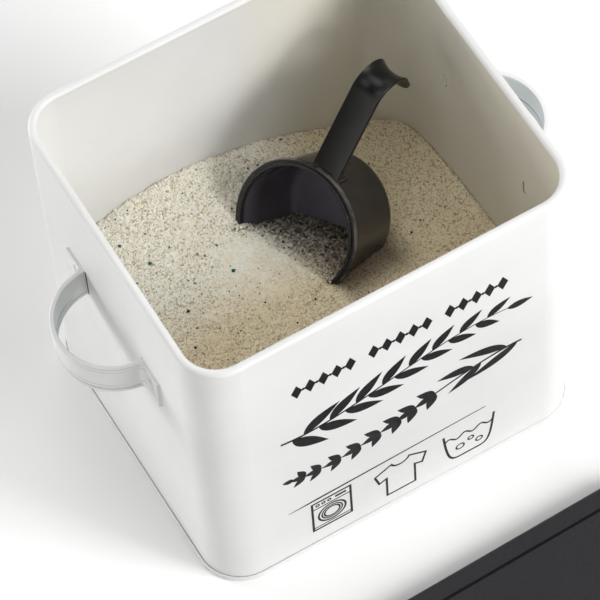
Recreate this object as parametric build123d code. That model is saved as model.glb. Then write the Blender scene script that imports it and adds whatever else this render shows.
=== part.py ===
"""Steel detergent storage box with two strap handles, its scoop, its powder and its lid.

The origin is the middle of the box's base, +Z up. The printed front faces -Y,
and the handles are on the -X and +X walls. Lengths are in millimetres.
"""
from build123d import *
import math
import os

# Box wall and its rolled rim
box_width = 200.0
box_depth = 173.0
box_height = 196.0
corner_radius = 21.0
sheet = 0.8
curl_diameter = 4.2
curl_wrap = 285.0

# Base pan: a pressed tray whose folded edge clasps the foot of the wall
seam_height = 3.6
seam_rounding = 0.5
tray_rise = 3.2

# Strap handles
handle_height = 128.0
handle_width = 20.0
loop_radius = 29.0
strap = 1.4
root_bend = 3.0
foot_length = 14.0
hem_width = 2.6
hem_proud = 0.5
hem_bevel = 0.4

# Clinch marks where each handle foot is pressed into the wall
clinch_length = 9.0
clinch_width = 3.2
clinch_depth = 0.45
clinch_proud = 0.7
clinch_rounding = 0.5

# Scoop cup
cup_mouth_radius = 32.4
cup_base_radius = 29.6
cup_depth = 42.4
cup_wall = 1.6
cup_base_bend = 5.0
flange_reach = 1.7
flange_thickness = 2.2
lip_height = 0.9
lip_rounding = 0.35

# Scoop handle: a trough that leans out from the rim and hooks over at its end, with
# a rib under each edge that fades out before the hook, and a gusset under its root
grip_width = 16.0
grip_sag = 1.9
grip_wall = 1.8
grip_bulge = 0.5
grip_drop = 2.1
grip_lean = 3.4
grip_run = 49.5
rib_width = 1.5
rib_depth = 2.0
hook_radius = 10.7
hook_turn = 128.0
hook_run = 10.4
tip_rounding = 4.0
gusset_reach = 8.0
gusset_drop = 10.0
gusset_inset = 0.4

# Where the scoop rests: middle of its mouth, and the way its axis and handle point
scoop_x = 7.7
scoop_y = 24.4
scoop_z = 88.0
scoop_heading = 20.0
scoop_dip = 35.3
scoop_roll = 6.0

# Powder: its gap to what it touches, and its heights over the box from front to back,
# each row from left to right
powder_gap = 0.3
heap_shares = (
    (0.355, 0.375, 0.375, 0.335, 0.285),
    (0.375, 0.390, 0.392, 0.345, 0.290),
    (0.375, 0.395, 0.405, 0.315, 0.298),
    (0.345, 0.395, 0.378, 0.305, 0.272),
    (0.285, 0.405, 0.405, 0.305, 0.168),
)
fill_level = 76.0
fill_slope = 40.0
fill_heading = 46.0

# Lid, lying on the floor in front of the box
lid_gap = 0.9
lid_height = 16.0
lid_rounding = 2.4
lid_border = 10.4
lid_groove = 0.8
lid_hem = 0.5
lid_hem_height = 2.6
lid_x = 12.0
lid_distance = 53.0
lid_turn = 1.4

# Sizes worked out from those above
half_width = box_width / 2
half_depth = box_depth / 2
curl_radius = curl_diameter / 2
overrun = box_height


def outline(width, depth, radius):
    """The edge of a rounded rectangle on the floor plane."""
    return RectangleRounded(width, depth, radius).wire()


def sweep_round(section, path):
    """Carry a section round a closed outline. Its x points inward and its y points up."""
    along = path % 0
    inward = Vector(0, 0, 1).cross(along)
    plane = Plane(origin=path @ 0, x_dir=inward, z_dir=along)
    return sweep(plane * section, path=path)


def block(width, depth, radius, low, high):
    """An upright rounded block between two heights."""
    return Pos(0, 0, low) * extrude(RectangleRounded(width, depth, radius), high - low)


def wall_section():
    """The wall sheet, and above it the curl that rolls inward and back under itself."""
    middle_z = box_height - curl_radius
    middle = (curl_radius, middle_z)
    bore = curl_radius - sheet
    outside = Line((0, sheet), (0, middle_z))
    over = CenterArc(middle, curl_radius, 180, -curl_wrap)
    back = CenterArc(middle, bore, 180 - curl_wrap, curl_wrap)
    cut_edge = Line(over @ 1, back @ 0)
    inside = Line((sheet, middle_z), (sheet, sheet))
    foot = Line((sheet, sheet), (0, sheet))
    return Face(Wire([outside, over, cut_edge, back, inside, foot]))


def clinch_slot(side, along):
    """Outline of one clinch mark on a side wall, on the wall's outer plane."""
    wall = Plane(origin=(side * half_width, along, handle_height), x_dir=(0, 0, 1), z_dir=(side, 0, 0))
    return wall * SlotOverall(clinch_length, clinch_width)


def clinch_places():
    """Distance of each clinch mark from the middle of its wall."""
    reach = loop_radius + foot_length / 2
    return (-reach, reach)


def make_body_shell():
    """The wall with its curl, dished on the inside at the four clinch marks."""
    shell = sweep_round(wall_section(), outline(box_width, box_depth, corner_radius))
    for side in (-1, 1):
        for along in clinch_places():
            inner_face = Pos(-side * sheet, 0, 0) * clinch_slot(side, along)
            shell -= extrude(inner_face, clinch_depth)
    return shell


def make_base_pan():
    """A tray with a folded seam round the wall's foot."""
    seam = Polyline(
        (-sheet, 0),
        (2 * sheet, 0),
        (2 * sheet, tray_rise),
        (sheet, tray_rise),
        (sheet, sheet),
        (0, sheet),
        (0, seam_height),
        (-sheet, seam_height),
        close=True,
    )
    ring = sweep_round(Face(Wire(seam.edges())), outline(box_width, box_depth, corner_radius))
    inset = 2 * sheet
    panel = block(
        box_width - 2 * inset, box_depth - 2 * inset, corner_radius - inset, tray_rise - sheet, tray_rise
    )
    pan = ring + panel
    underside = pan.faces().sort_by(Axis.Z)[0]
    return fillet(underside.outer_wire().edges(), seam_rounding)


def handle_plan():
    """The strap seen from above: foot, loop, foot, with x pointing away from the wall."""
    loop = Circle(loop_radius) - Circle(loop_radius - strap)
    outward = Pos(loop_radius, 0) * Rectangle(2 * loop_radius, 3 * loop_radius)
    foot_end = loop_radius + foot_length
    foot = Rectangle(strap, foot_end - (loop_radius - strap), align=(Align.MIN, Align.MIN))
    upper_foot = Pos(0, loop_radius - strap) * foot
    plan = (loop & outward) + upper_foot + mirror(upper_foot, Plane.XZ)
    corners = plan.vertices().filter_by(lambda v: strap / 2 < v.X < 2 * strap and abs(v.Y) < loop_radius)
    return fillet(corners, root_bend)


def make_handle(side):
    """A D-shaped strap handle with hemmed edges, flat feet and pressed clinch bumps."""
    strap_band = extrude(handle_plan(), handle_width)
    hem_ring = Circle(loop_radius + hem_proud) - Circle(loop_radius - strap - hem_proud)
    off_wall = Rectangle(2 * loop_radius, 3 * loop_radius, align=(Align.MIN, Align.CENTER))
    hem = extrude(hem_ring & off_wall, hem_width)
    hem = chamfer(hem.edges().filter_by(GeomType.CIRCLE), hem_bevel)
    handle = strap_band + hem + Pos(0, 0, handle_width - hem_width) * hem
    handle = Pos(half_width, 0, handle_height - handle_width / 2) * handle
    for along in clinch_places():
        bump = extrude(Pos(strap, 0, 0) * clinch_slot(1, along), clinch_proud)
        top = bump.faces().sort_by(Axis.X)[-1]
        handle += fillet(top.edges(), clinch_rounding)
    return handle if side > 0 else mirror(handle, Plane.YZ)


def cup_profile():
    """Half section of the cup: x is the distance from its axis, and y is above its mouth."""
    mouth_bore = cup_mouth_radius - cup_wall
    base_bore = cup_base_radius - cup_wall
    flange_radius = cup_mouth_radius + flange_reach
    outline_points = (
        (0, -cup_depth),
        (cup_base_radius, -cup_depth),
        (cup_mouth_radius, -flange_thickness),
        (flange_radius, -flange_thickness),
        (flange_radius, 0),
        (cup_mouth_radius, 0),
        (cup_mouth_radius, lip_height),
        (mouth_bore, lip_height),
        (base_bore, cup_wall - cup_depth),
        (0, cup_wall - cup_depth),
    )
    profile = make_face(Polyline(*outline_points, close=True))
    profile = fillet(nearest(profile, (cup_base_radius, -cup_depth)), cup_base_bend)
    profile = fillet(nearest(profile, (base_bore, cup_wall - cup_depth)), cup_base_bend - cup_wall)
    for place in ((flange_radius, 0), (cup_mouth_radius, lip_height), (mouth_bore, lip_height)):
        profile = fillet(nearest(profile, place), lip_rounding)
    return profile


def nearest(profile, place):
    """The vertex of a flat profile that is closest to a place."""
    target = Vector(place[0], place[1], 0)
    return profile.vertices().sort_by_distance(target)[0]


def grip_path():
    """The line of the trough's floor: out from the rim, leaning, then round the hook."""
    lean = Vector(1, 0).rotate(Axis.Z, grip_lean)
    start = Vector(cup_mouth_radius, -grip_drop)
    run = Line(start, start + lean * grip_run)
    hook = JernArc(run @ 1, lean, hook_radius, -grip_lean - hook_turn)
    back = Line(hook @ 1, hook @ 1 + (hook % 1) * hook_run)
    return Wire([run, hook, back])


def grip_section():
    """The trough's bent sheet: its round edges stand above its floor on the side of the mouth."""
    half = grip_width / 2 - grip_bulge
    foot = grip_sag - grip_wall
    middle = grip_sag - grip_wall / 2
    inside = ThreePointArc((-half, grip_sag), (0, 0), (half, grip_sag))
    right = ThreePointArc((half, grip_sag), (half + grip_bulge, middle), (half, foot))
    outside = ThreePointArc((half, foot), (0, -grip_wall), (-half, foot))
    left = ThreePointArc((-half, foot), (-half - grip_bulge, middle), (-half, grip_sag))
    return Face(Wire([inside, right, outside, left]))


def grip_braces():
    """The ribs under the trough's edges and the gussets under its root, for both sides."""
    half = grip_width / 2 - grip_bulge
    root = cup_mouth_radius - cup_wall / 2
    edge = grip_sag - grip_wall / 2 - grip_drop
    rise = grip_run * math.tan(math.radians(grip_lean))
    rib_points = ((root, edge), (root + grip_run, edge + rise), (root, edge - grip_wall / 2 - rib_depth))
    rib = extrude(make_face(Polyline(*rib_points, close=True)), rib_width)
    floor = -grip_drop - grip_wall / 2
    gusset_points = ((root, floor), (root + gusset_reach, floor), (root, floor - gusset_drop))
    gusset = extrude(make_face(Polyline(*gusset_points, close=True)), rib_width)
    brace = Pos(0, 0, half - rib_width) * rib + Pos(0, 0, half - gusset_inset - rib_width) * gusset
    return [brace, mirror(brace, Plane.XY)]


def tip_corners(path):
    """What lies outside the two rounded corners of the trough's end."""
    along = path % 1
    facing = Vector(0, 0, 1).cross(along)
    end = Plane(origin=path @ 1, x_dir=along, z_dir=facing)
    reach = grip_width / 2 - tip_rounding
    height = 4 * grip_sag
    square = Pos(tip_rounding / 2, tip_rounding / 2) * Box(tip_rounding, tip_rounding, height)
    corner = Pos(-tip_rounding, reach) * (square - Cylinder(tip_rounding, height))
    return [end * corner, end * mirror(corner, Plane.XZ)]


def make_grip():
    """The scoop's handle: trough, ribs and gussets, in the plane of its path."""
    path = grip_path()
    start = Plane(origin=path @ 0, x_dir=(0, 0, -1), z_dir=path % 0)
    trough = sweep(start * grip_section(), path=path)
    return trough - tip_corners(path) + grip_braces()


def scoop_plane():
    """The mouth plane: x along the scoop's handle, z straight out of the cup."""
    heading = math.radians(scoop_heading)
    dip = math.radians(scoop_dip)
    roll = math.radians(scoop_roll)
    into_cup = Vector(
        math.cos(heading) * math.cos(dip), math.sin(heading) * math.cos(dip), -math.sin(dip)
    )
    across = into_cup.cross(Vector(0, 0, 1)).normalized()
    upward = across.cross(into_cup)
    handle_way = across * math.sin(roll) + upward * math.cos(roll)
    return Plane(origin=(scoop_x, scoop_y, scoop_z), x_dir=handle_way, z_dir=into_cup * -1)


def make_scoop():
    """One moulded piece: cup, flange, lip and troughed handle."""
    cup = revolve(Plane.XZ * cup_profile(), Axis.Z)
    above_flange = Cylinder(
        cup_mouth_radius + flange_reach, cup_depth, align=(Align.CENTER, Align.CENTER, Align.MIN)
    )
    inside_wall = Cylinder(cup_mouth_radius - cup_wall / 2, 2 * cup_depth)
    grip = Plane.XZ * make_grip() - inside_wall - Pos(0, 0, -flange_thickness / 2) * above_flange
    return scoop_plane() * (cup + grip)


def heap_surface():
    """The powder's smooth top, from its table of heights."""
    rows = len(heap_shares)
    grid = []
    for row, shares in enumerate(heap_shares):
        y = box_depth * (row / (rows - 1) - 1 / 2)
        columns = len(shares)
        grid.append(
            [
                Vector(box_width * (column / (columns - 1) - 1 / 2), y, share * box_height)
                for column, share in enumerate(shares)
            ]
        )
    return Face.make_surface_from_array_of_points(grid)


def cup_room():
    """The space that the whole cup takes, with the powder's gap round it."""
    reach = cup_mouth_radius + flange_reach + powder_gap
    wall_radius = cup_mouth_radius + powder_gap
    base_corner = (cup_base_radius + powder_gap, -cup_depth - powder_gap)
    shoulder = -flange_thickness - powder_gap
    top = lip_height + powder_gap
    points = ((0, base_corner[1]), base_corner, (wall_radius, shoulder), (reach, shoulder), (reach, top))
    profile = make_face(Polyline(*points, (0, top), close=True))
    profile = fillet(nearest(profile, base_corner), cup_base_bend)
    return scoop_plane() * revolve(Plane.XZ * profile, Axis.Z)


def cup_inside():
    """The space inside the cup, less the powder's gap, and out past its lip."""
    bore = cup_mouth_radius - cup_wall - powder_gap
    base_corner = (cup_base_radius - cup_wall - powder_gap, cup_wall + powder_gap - cup_depth)
    top = lip_height + 3 * powder_gap
    points = ((0, base_corner[1]), base_corner, (bore, lip_height), (bore, top), (0, top))
    profile = make_face(Polyline(*points, close=True))
    profile = fillet(nearest(profile, base_corner), cup_base_bend - cup_wall)
    return scoop_plane() * revolve(Plane.XZ * profile, Axis.Z)


def under_fill_slope():
    """Everything below the slope that the powder runs down inside the cup."""
    heading = math.radians(fill_heading)
    slope = math.radians(fill_slope)
    level_way = Vector(-math.sin(heading), math.cos(heading), 0)
    downhill = Vector(math.cos(heading), math.sin(heading), 0)
    facing = downhill * math.sin(slope) + Vector(0, 0, 1) * math.cos(slope)
    surface = Plane(origin=(scoop_x, scoop_y, fill_level), x_dir=level_way, z_dir=facing)
    return surface * Pos(0, 0, -overrun / 2) * Box(overrun, overrun, overrun)


def make_powder():
    """The powder in the box and in the cup, clear of the wall, the base and the scoop."""
    inset = sheet + powder_gap
    room = block(
        box_width - 2 * inset, box_depth - 2 * inset, corner_radius - inset, tray_rise + powder_gap, box_height
    )
    below_heap = extrude(heap_surface(), overrun, dir=(0, 0, -1))
    heap = room & below_heap
    return (heap - cup_room()) + (cup_inside() & heap & under_fill_slope())


def make_lid():
    """A pressed lid with a grooved panel line and a hemmed skirt, laid on the floor."""
    inner_width = box_width + 2 * lid_gap
    inner_depth = box_depth + 2 * lid_gap
    inner_radius = corner_radius + lid_gap
    outer = block(
        inner_width + 2 * sheet, inner_depth + 2 * sheet, inner_radius + sheet, 0, lid_height
    )
    outer = fillet(outer.faces().sort_by(Axis.Z)[-1].edges(), lid_rounding)
    inner = block(inner_width, inner_depth, inner_radius, 0, lid_height - sheet)
    inner = fillet(inner.faces().sort_by(Axis.Z)[-1].edges(), lid_rounding - sheet)
    cap = outer - inner
    hem_reach = sheet + lid_hem
    hem = block(
        inner_width + 2 * hem_reach, inner_depth + 2 * hem_reach, inner_radius + hem_reach, 0, lid_hem_height
    )
    hem = fillet(hem.faces().sort_by(Axis.Z)[-1].edges(), lid_hem / 2)
    cap += hem - block(inner_width, inner_depth, inner_radius, -sheet, lid_height)
    border = lid_border - sheet
    line = outline(inner_width - 2 * border, inner_depth - 2 * border, inner_radius - border)
    top_line = Pos(0, 0, lid_height) * line
    ridge = sweep_round(Circle(lid_groove + sheet), top_line)
    groove = sweep_round(Circle(lid_groove), top_line)
    ridge &= block(inner_width, inner_depth, inner_radius, 0, lid_height)
    cap = cap + ridge - groove
    place_y = -(half_depth + lid_distance + inner_depth / 2 + sheet)
    return Pos(lid_x, place_y, 0) * Rot(0, 0, lid_turn) * cap


def main():
    parts = {
        "body_shell": make_body_shell(),
        "base_pan": make_base_pan(),
        "left_handle": make_handle(-1),
        "right_handle": make_handle(1),
        "scoop": make_scoop(),
        "detergent_powder": make_powder(),
        "lid": make_lid(),
    }
    os.makedirs("parts", exist_ok=True)
    for name, shape in parts.items():
        export_step(shape, os.path.join("parts", name + ".step"))


main()
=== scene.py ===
"""Sheet-steel detergent box with its powder, scoop and lid, dressed over the CAD frame.

Lengths are in metres in the frame of the CAD part: the origin is under the middle of
the box, +Z is up, the printed front faces -Y and the handles are on the -X and +X walls.
"""
import math

import bpy
import numpy as np
from bpy.props import FloatProperty, FloatVectorProperty, IntProperty, PointerProperty
from mathutils import Matrix, Vector


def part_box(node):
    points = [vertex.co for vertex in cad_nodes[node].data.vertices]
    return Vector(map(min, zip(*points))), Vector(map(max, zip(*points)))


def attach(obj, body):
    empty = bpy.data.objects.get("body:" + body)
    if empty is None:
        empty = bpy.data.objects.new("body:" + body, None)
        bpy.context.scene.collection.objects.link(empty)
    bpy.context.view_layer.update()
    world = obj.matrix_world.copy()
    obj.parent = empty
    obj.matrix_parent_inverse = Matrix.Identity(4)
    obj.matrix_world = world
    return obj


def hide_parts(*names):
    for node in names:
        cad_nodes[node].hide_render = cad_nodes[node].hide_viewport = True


bl_info = {
    "name": "Detergent storage box",
    "version": (1, 0, 0),
    "blender": (4, 5, 0),
    "location": "View3D > Sidebar > Detergent box",
    "description": "Finishes, powder, print and stage for a steel detergent storage box",
    "category": "Object",
}

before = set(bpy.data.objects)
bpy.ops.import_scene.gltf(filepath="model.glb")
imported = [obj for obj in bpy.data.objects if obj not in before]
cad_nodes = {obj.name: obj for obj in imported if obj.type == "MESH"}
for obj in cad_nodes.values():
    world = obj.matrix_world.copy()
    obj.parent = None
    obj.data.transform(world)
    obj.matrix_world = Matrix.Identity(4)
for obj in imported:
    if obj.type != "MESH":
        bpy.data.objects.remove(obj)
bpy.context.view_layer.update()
shell_low, shell_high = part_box("body_shell")

MM = 0.001
BODY = "root"
TO_RIGHT, TO_BACK, UP = (1.0, 0.0, 0.0), (0.0, 1.0, 0.0), (0.0, 0.0, 1.0)

# The box: its outside, its sheet and corners, and how far down the dust on its walls fades in
box_width = shell_high.x - shell_low.x
box_depth = shell_high.y - shell_low.y
box_height = shell_high.z
sheet = 0.8 * MM
corner_radius = 21 * MM
dust_fade = 9 * MM

# The strap handles: their middle's height, the clinch marks beside their roots, and the
# heights of the beads rolled along the strap
handle_middle = 128 * MM
strap_half_height = 9.6 * MM
clinch_place = 36 * MM
clinch_half_length = 2.9 * MM
clinch_half_width = 1.6 * MM
bead_levels = (123 * MM, 134.5 * MM)

# Painted shadow blocks in the gaps at the handle roots: their reach out from the wall, and along it
root_shadow_out = np.array((-0.05, 0.12)) * MM
root_shadow_along = np.array((26.4, 27.15)) * MM

# Painted shadow line on the seam round the base: its outer edge past the wall, its width and its heights
seam_reach = 0.4 * MM
seam_line_width = 0.5 * MM
seam_levels = (3.55 * MM, 3.66 * MM)

# The lid's turn, and its groove: the distance from the lid's edge, the width, and how far
# below the lid's top the groove's painted shadow line has its bottom and its top
lid_turn = math.radians(1.4)
groove_inset = 8.7 * MM
groove_width = 1.54 * MM
groove_depths = (0.3 * MM, 0.12 * MM)

# The scoop: middle of its mouth, its heading, dip and roll, and its cup
scoop_mouth = np.array((7.7, 24.4, 88.0)) * MM
scoop_heading = math.radians(20.0)
scoop_dip = math.radians(35.3)
scoop_roll = math.radians(6.0)
cup_mouth_radius = 32.4 * MM
cup_base_radius = 29.6 * MM
cup_depth = 42.4 * MM
cup_taper = (cup_mouth_radius - cup_base_radius) / cup_depth
cup_wall = 1.6 * MM
cup_lip = 0.9 * MM
flange_width = 1.7 * MM
flange_height = 2.5 * MM
base_rounding = 5 * MM


def scoop_axes():
    """Unit vectors of the scoop: along its handle, sideways, and out of its mouth."""
    into = np.array((
        math.cos(scoop_heading) * math.cos(scoop_dip),
        math.sin(scoop_heading) * math.cos(scoop_dip),
        -math.sin(scoop_dip),
    ))
    across = np.cross(into, UP)
    across /= np.linalg.norm(across)
    upward = np.cross(across, into)
    handle_way = across * math.sin(scoop_roll) + upward * math.cos(scoop_roll)
    return handle_way, np.cross(-into, handle_way), -into


scoop_ways = scoop_axes()

# Light and shade at the cup: the way and a place of the light's edge in it, and its front side
cup_light_way = (0.934, 0.358, 0.0)
cup_light_place = (3 * MM, 20 * MM, 0.0)
cup_front_way = (0.35, -0.94, 0.0)

# Powder heights as shares of the box's height, rows from front to back, each left to right
heap_shares = np.array((
    (0.355, 0.375, 0.375, 0.335, 0.285),
    (0.375, 0.390, 0.392, 0.345, 0.290),
    (0.375, 0.395, 0.405, 0.315, 0.298),
    (0.345, 0.395, 0.378, 0.305, 0.272),
    (0.285, 0.405, 0.405, 0.305, 0.168),
))

# The powder's floor and its edge, and how far grains stay from the wall, and grains and
# crumbs from the cup
powder_floor = 3.6 * MM
powder_inset = sheet + 0.1 * MM
grain_inset = sheet + 0.7 * MM
grain_clearance = 0.6 * MM
crumb_clearance = 0.7 * MM

# The powder's relief: height and width of its swells, ripples, clods and grains, the width
# of the clods' patches, and the depth, width and reach of the pits at the wall
swell_height, swell_width = 0.8 * MM, 19 * MM
ripple_height, ripple_width = 0.55 * MM, 7.3 * MM
clod_height, clod_width, clod_patch_width = 1.15 * MM, 3.9 * MM, 12 * MM
grain_height, grain_width = 0.8 * MM, 1.7 * MM
pit_depth, pit_width, pit_reach = 1.9 * MM, 2.1 * MM, 0.9 * MM

# The slope of the powder in the cup: its height at the mouth, its fall and heading, how
# softly it joins the heap, and how far behind the mouth it takes over
fill_level = 76.0 * MM
fill_slope = math.radians(40.0)
fill_heading = math.radians(46.0)
fill_soft = 3 * MM
fill_reach = 7 * MM

# Where finer powder has poured out of the cup, and how far its smoothness reaches
patch_place = (-14 * MM, 20 * MM, 0.0)
patch_reach = 26 * MM

# Crumbs at the mouth's rim: x, y and spread in millimetres, and how many lie at each place
rim_crumb_places = ((-12.5, 43.5, 1.8), (12.5, -4.5, 2.1))
rim_crumb_count = 130

# Coloured grains that stand out: x, y and size in millimetres
teal_grains = np.array((
    (-27.1, 23.3, 1.9), (-58.4, 49.0, 2.0), (-65.8, 66.4, 1.7), (-52.4, 64.5, 1.2),
    (-47.5, 31.1, 1.0), (-46.2, 52.0, 1.1), (-56.6, 6.4, 1.2), (-23.1, -0.5, 0.9),
    (-56.6, 53.1, 0.8), (9.5, 73.5, 1.2), (47.0, -51.0, 1.5), (-20.0, -61.0, 1.7),
    (64.0, -30.0, 1.3), (-78.0, 3.0, 1.6), (-83.0, -48.0, 1.4), (22.0, -70.0, 1.1),
))
navy_grains = np.array((
    (-26.4, 41.0, 1.3), (-1.6, -10.6, 1.2), (-60.3, 80.2, 1.0), (-55.7, 16.7, 1.7),
    (-53.3, 80.7, 0.9), (-36.4, 41.8, 1.0), (-58.3, 43.2, 1.0), (63.0, 9.3, 1.2),
    (-62.4, -1.6, 1.0), (-34.1, 31.5, 0.9), (-63.7, 23.1, 0.9), (-34.3, 14.6, 0.8),
    (23.6, -17.1, 0.8), (-42.0, -7.4, 0.9), (-26.1, 74.5, 0.8), (-31.5, 9.9, 0.8),
    (66.3, -3.0, 0.8), (70.5, 13.3, 1.0), (-15.7, -17.8, 0.9), (-22.7, 5.9, 0.7),
    (-54.5, 35.3, 0.7), (65.4, 27.4, 0.9), (92.5, 30.7, 0.8), (-27.6, -20.3, 0.8),
    (-8.9, 10.9, 0.7), (-2.1, -5.8, 0.7), (-63.3, 34.4, 0.6), (-46.0, 75.6, 0.7),
    (85.9, 14.3, 0.8), (-52.7, -16.3, 0.8), (15.0, 74.0, 1.1), (-44.2, 34.9, 0.6),
    (52.0, -40.0, 1.2), (30.0, -55.0, 0.9), (-10.0, -45.0, 1.1), (-38.0, -55.0, 1.0),
    (-70.0, -30.0, 0.9), (-80.0, -70.0, 1.1), (75.0, -60.0, 0.8), (5.0, -76.0, 1.0),
))

# Tints: painted shade at the clinch marks and along the strap's beads, mottling, painted shade in the gaps
# between grains, and grains that stand out dark
CLINCH_SHADE_TINT = (0.40, 0.38, 0.36)
INNER_BEAD_SHADE = (0.38, 0.38, 0.40)
OUTER_BEAD_SHADE = (0.84, 0.81, 0.81)
FAINT_TINT = (0.8, 0.8, 0.8)
GRAIN_GAP_SHADE = (0.52, 0.45, 0.37)
DARK_GRAIN_TINT = (0.11, 0.105, 0.11)

# Points to a side of the random lattices, how deep the ink's back lies in the wall, and how
# far the floor reaches in metres
LATTICE = 256
ink_sunk = 0.02 * MM
floor_reach = 3.0


# Settings

def length(name, default, description, low=0.0):
    """A length in metres that a user may change."""
    return FloatProperty(name=name, default=default, description=description, min=low,
                         subtype="DISTANCE", unit="LENGTH", precision=5)


def colour(name, default, description):
    """A linear colour that a user may change."""
    return FloatVectorProperty(name=name, default=default, description=description, size=3,
                               min=0.0, max=1.0, subtype="COLOR")


def amount(name, default, description, low=0.0, high=1000.0):
    """A plain number that a user may change."""
    return FloatProperty(name=name, default=default, description=description, min=low, max=high)


def number(name, default, description):
    """A count that a user may change."""
    return IntProperty(name=name, default=default, description=description, min=0)


class DetergentBoxFinishes(bpy.types.PropertyGroup):
    """Colours and gloss of the box, the scoop and the lid."""

    enamel: colour("Enamel", (0.80, 0.80, 0.79), "White powder coat on the box and handles")
    enamel_shade: colour("Enamel shade", (0.76, 0.76, 0.745), "Second tone of the powder coat")
    enamel_gloss: amount("Enamel roughness", 0.42, "Roughness of the powder coat", high=1.0)
    # The cup's outside colour is partly painted reflection of the powder, lighter and warmer than the black
    # of the handle and flange
    scoop: colour("Scoop", (0.046, 0.039, 0.038), "Dark moulded plastic of the scoop")
    scoop_gloss: amount("Scoop roughness", 0.15, "Roughness of the scoop", high=1.0)
    # Painted light inside the cup: the powder's reflection and bounce light, lighter towards the bottom
    scoop_inside_lit: colour("Scoop inside", (0.080, 0.070, 0.084), "Dusty inside of the measuring cup")
    scoop_bottom_lit: colour("Scoop inside, at the bottom", (0.20, 0.185, 0.225), "Dust in the cup's bottom")
    # Painted highlight: a lighter line on the flange's outer edge
    scoop_edge_highlight: colour("Worn edge", (0.20, 0.19, 0.19), "Scuffed outer edge of the scoop's flange")
    scoop_handle: colour("Scoop handle", (0.003, 0.003, 0.003), "Clean plastic of the scoop's handle")
    # Painted warm bounce light off the powder: a tint on the right half of the inner walls
    inner_bounce_tint: colour("Inner walls", (1.0, 0.965, 0.86), "Tint of the powder's dust on them")
    # Painted shade: a darker, bluer tint on the straps' faces towards the wall
    handle_inner_shade: colour("Handle's inner face", (0.76, 0.82, 0.84), "Tint of the face towards the wall")
    # Painted shadow: near-black for the handle roots' gaps and the lid's groove
    gap: colour("Gaps", (0.003, 0.003, 0.0035), "Dark gaps at the handle roots and in the lid's groove")
    # Painted shadow on the seam's ledge, darker at the left side, away from the key light
    seam: colour("Seam line, left", (0.34, 0.36, 0.38), "Line on the base's folded seam, at the left")
    seam_shade_right: colour("Seam line, right", (0.74, 0.765, 0.785), "The same line, at the right")
    lid: colour("Lid", (0.021, 0.020, 0.023), "Dark powder coat on the lid")
    lid_gloss: amount("Lid roughness", 0.5, "Roughness of the lid", high=1.0)


class DetergentBoxPowder(bpy.types.PropertyGroup):
    """Grain, relief and colours of the washing powder."""

    step: length("Grid step", 0.64 * MM, "Distance between points of the powder's surface", 0.1 * MM)
    relief: amount("Relief", 1.0, "Height of lumps and grains against the real ones", high=3.0)
    loose: number("Loose grains", 21000, "Grains that lie on the powder")
    crumbs: number("Crumbs in the scoop", 2600, "Coarse grains in the cup")
    grain: length("Grain size", 1.0 * MM, "Middle size of a loose grain", 0.1 * MM)
    light: colour("Light grains", (1.0, 1.0, 0.91), "Colour of the palest grains")
    dark: colour("Dark grains", (0.95, 0.865, 0.69), "Colour of the darkest grains")
    # Painted shade: a browner, darker tint where the front and right walls shade the powder
    shade: colour("Damp side", (1.0, 0.915, 0.775), "Tint towards the front and the right wall")
    # Painted shadow on the powder against the scoop's front side
    contact_shadow: colour("Powder at the cup", (0.30, 0.27, 0.26), "Tint against the scoop's front side")
    cup_shade: colour("Powder in the cup", (0.38, 0.36, 0.35), "Tint of the powder deep in the scoop")
    teal: colour("Teal grains", (0.0, 0.085, 0.05), "Colour of the green grains")
    navy: colour("Navy grains", (0.004, 0.006, 0.018), "Colour of the dark blue grains")


class DetergentBoxPrint(bpy.types.PropertyGroup):
    """The black print on the front wall."""

    ink: colour("Ink", (0.006, 0.006, 0.007), "Colour of the print")
    thickness: length("Print thickness", 0.06 * MM, "Thickness of the print", 0.01 * MM)


class DetergentBoxStage(bpy.types.PropertyGroup):
    """Camera, floor and lamps."""

    azimuth: amount("Azimuth", -26.08865, "Camera azimuth from the front in degrees", -360, 360)
    elevation: amount("Elevation", 59.004765, "Camera elevation in degrees", -90, 90)
    roll: amount("Roll", -4.917232, "Camera roll in degrees", -180, 180)
    distance: length("Distance", 2.013862, "Distance from the camera to its target")
    target: FloatVectorProperty(name="Target", default=(0.013072, 0.036070, 0.0), size=3,
                                description="Point that the camera looks at", subtype="XYZ")
    lens: amount("Lens", 243.028, "Focal length in millimetres on a 36 mm sensor")
    floor: colour("Floor", (0.93, 0.93, 0.925), "Colour of the floor")
    world: amount("World", 0.085, "Strength of the even light from all sides")


GROUPS = (DetergentBoxFinishes, DetergentBoxPowder, DetergentBoxPrint, DetergentBoxStage)


# Materials

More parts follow.
